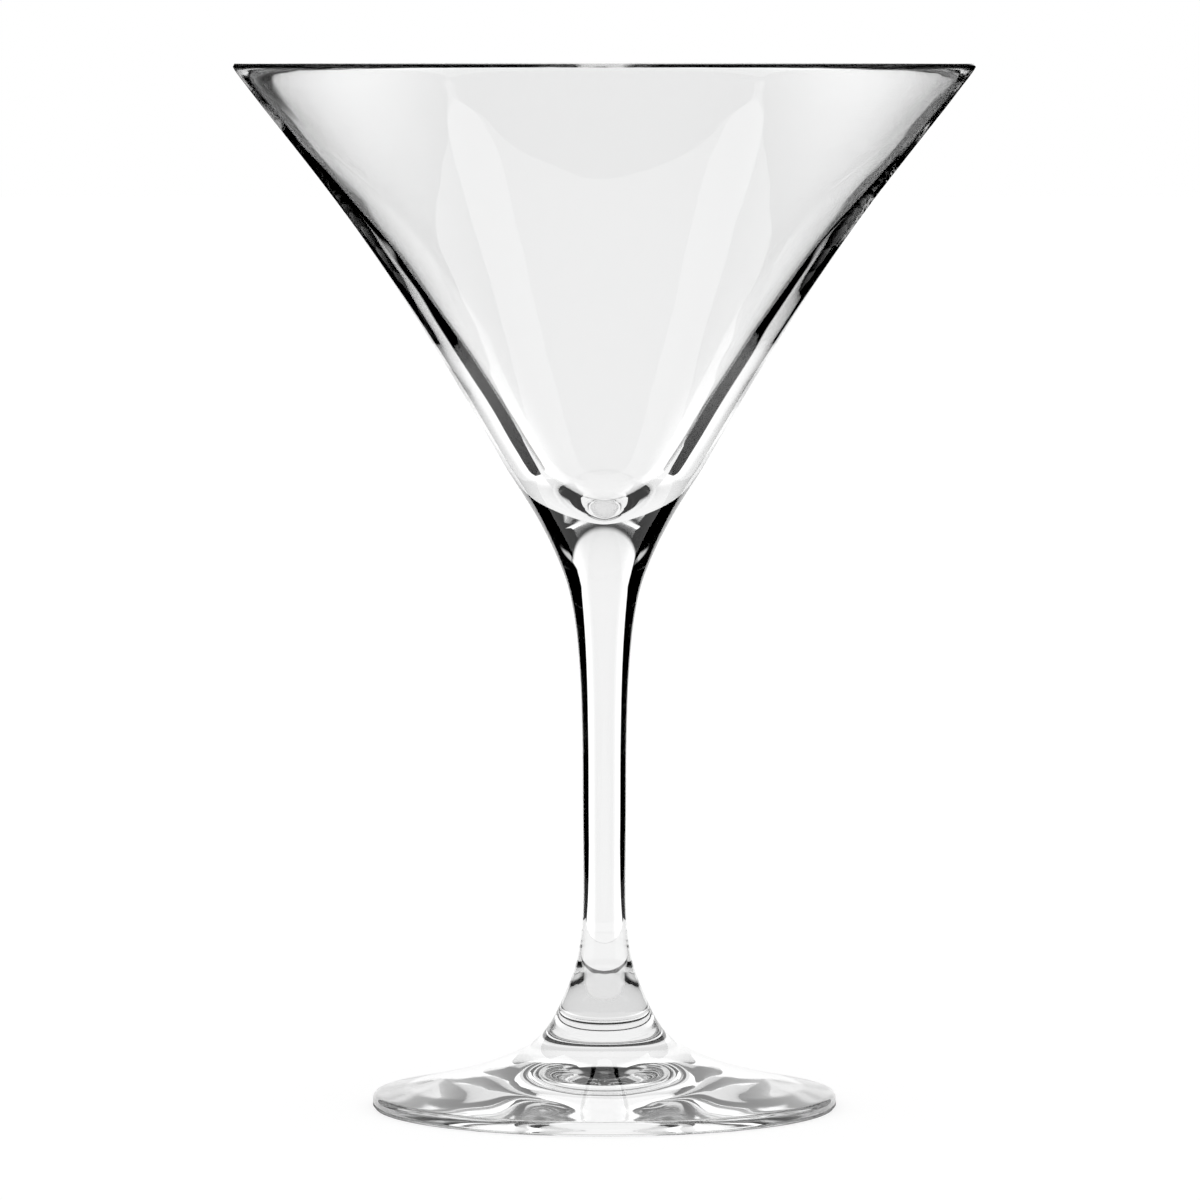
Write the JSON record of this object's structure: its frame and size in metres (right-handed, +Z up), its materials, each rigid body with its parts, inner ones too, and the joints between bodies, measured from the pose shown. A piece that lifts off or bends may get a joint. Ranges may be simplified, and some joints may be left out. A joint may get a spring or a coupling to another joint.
{
  "type": "martini glass",
  "caption": "Clear martini glass: a thin conical bowl with a solid rounded button, a slender waisted stem and a shallow domed disc foot, fused end to end.",
  "frame": {"origin": "centre of the foot's resting plane", "axes": "+Z up along the axis of the stem and bowl; X and Y are equivalent, because the glass is a body of revolution"},
  "size_m": [0.1162, 0.1162, 0.1642],
  "materials": {
    "clear_glass": "clear, colourless, fire-polished"
  },
  "bodies": {
    "root": {"bowl": "clear_glass", "stem": "clear_glass", "foot": "clear_glass"}
  },
  "joints": []
}
